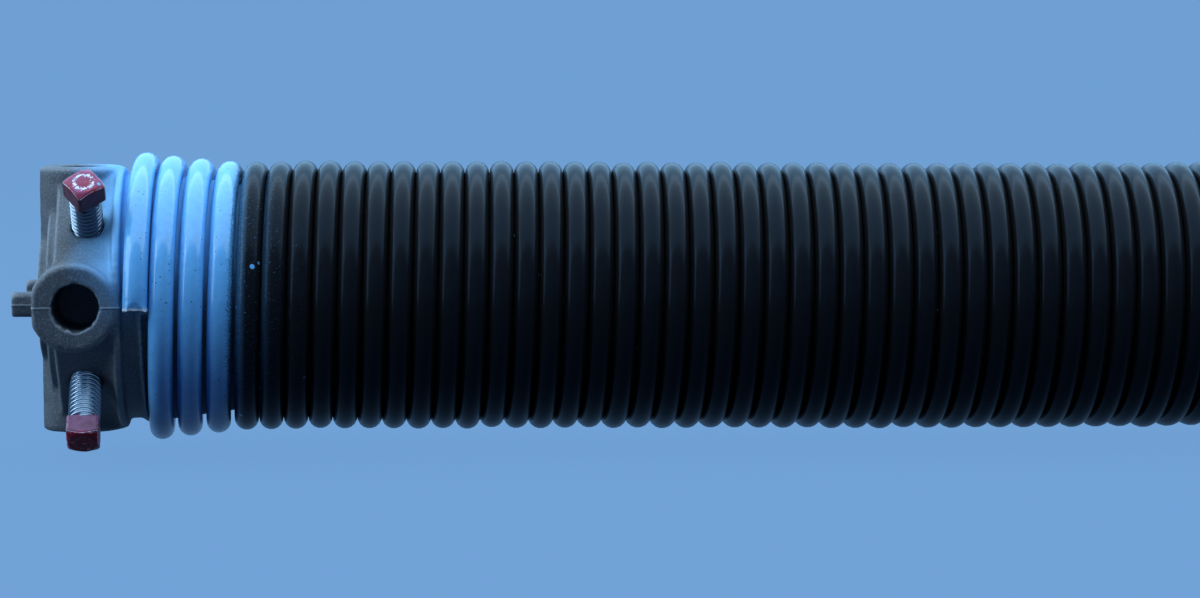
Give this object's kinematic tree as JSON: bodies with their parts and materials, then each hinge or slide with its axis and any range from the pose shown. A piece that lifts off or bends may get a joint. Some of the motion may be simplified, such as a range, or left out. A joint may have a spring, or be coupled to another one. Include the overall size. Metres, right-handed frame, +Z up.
{
  "type": "overhead door torsion spring",
  "caption": "Close-wound torsion spring with a cast winding cone, square-head set screws and a stationary cone for a bracket.",
  "frame": {"origin": "on the spring's axis, at the outer face of the winding cone's head", "axes": "+X along the spring's axis from the winding cone to the stationary cone, +Z up through a winding bar socket, -Y to the front, where the wire's cut end and the two set screws are"},
  "size_m": [0.6559, 0.1208, 0.0912],
  "materials": {
    "spring_wire": "black coated spring steel, light blue colour code paint on the winding end",
    "cast_cone": "sand cast, dark grey, fine grain",
    "set_screw": "zinc plated thread, red painted head"
  },
  "bodies": {
    "fixed_end": {"stationary_cone": "cast_cone", "torsion_spring": "spring_wire"},
    "winding_end": {"winding_cone": "cast_cone"},
    "upper_screw": {"set_screw_upper": "set_screw"},
    "lower_screw": {"set_screw_lower": "set_screw"}
  },
  "joints": [
    {"name": "winding", "type": "hinge", "parent": "fixed_end", "child": "winding_end", "pos_m": [0.012, 0, 0], "axis": [1, 0, 0], "range_deg": [0, 1980], "stiffness_Nm_per_rad": 1.7, "deforming": ["torsion_spring"]},
    {"name": "upper_screw_travel", "type": "slide", "parent": "winding_end", "child": "upper_screw", "axis": [0, -0.7071, 0.7071], "range_m": [-0.001, 0.0115]},
    {"name": "lower_screw_travel", "type": "slide", "parent": "winding_end", "child": "lower_screw", "axis": [0, -0.7071, -0.7071], "range_m": [-0.0047, 0.0078]}
  ]
}
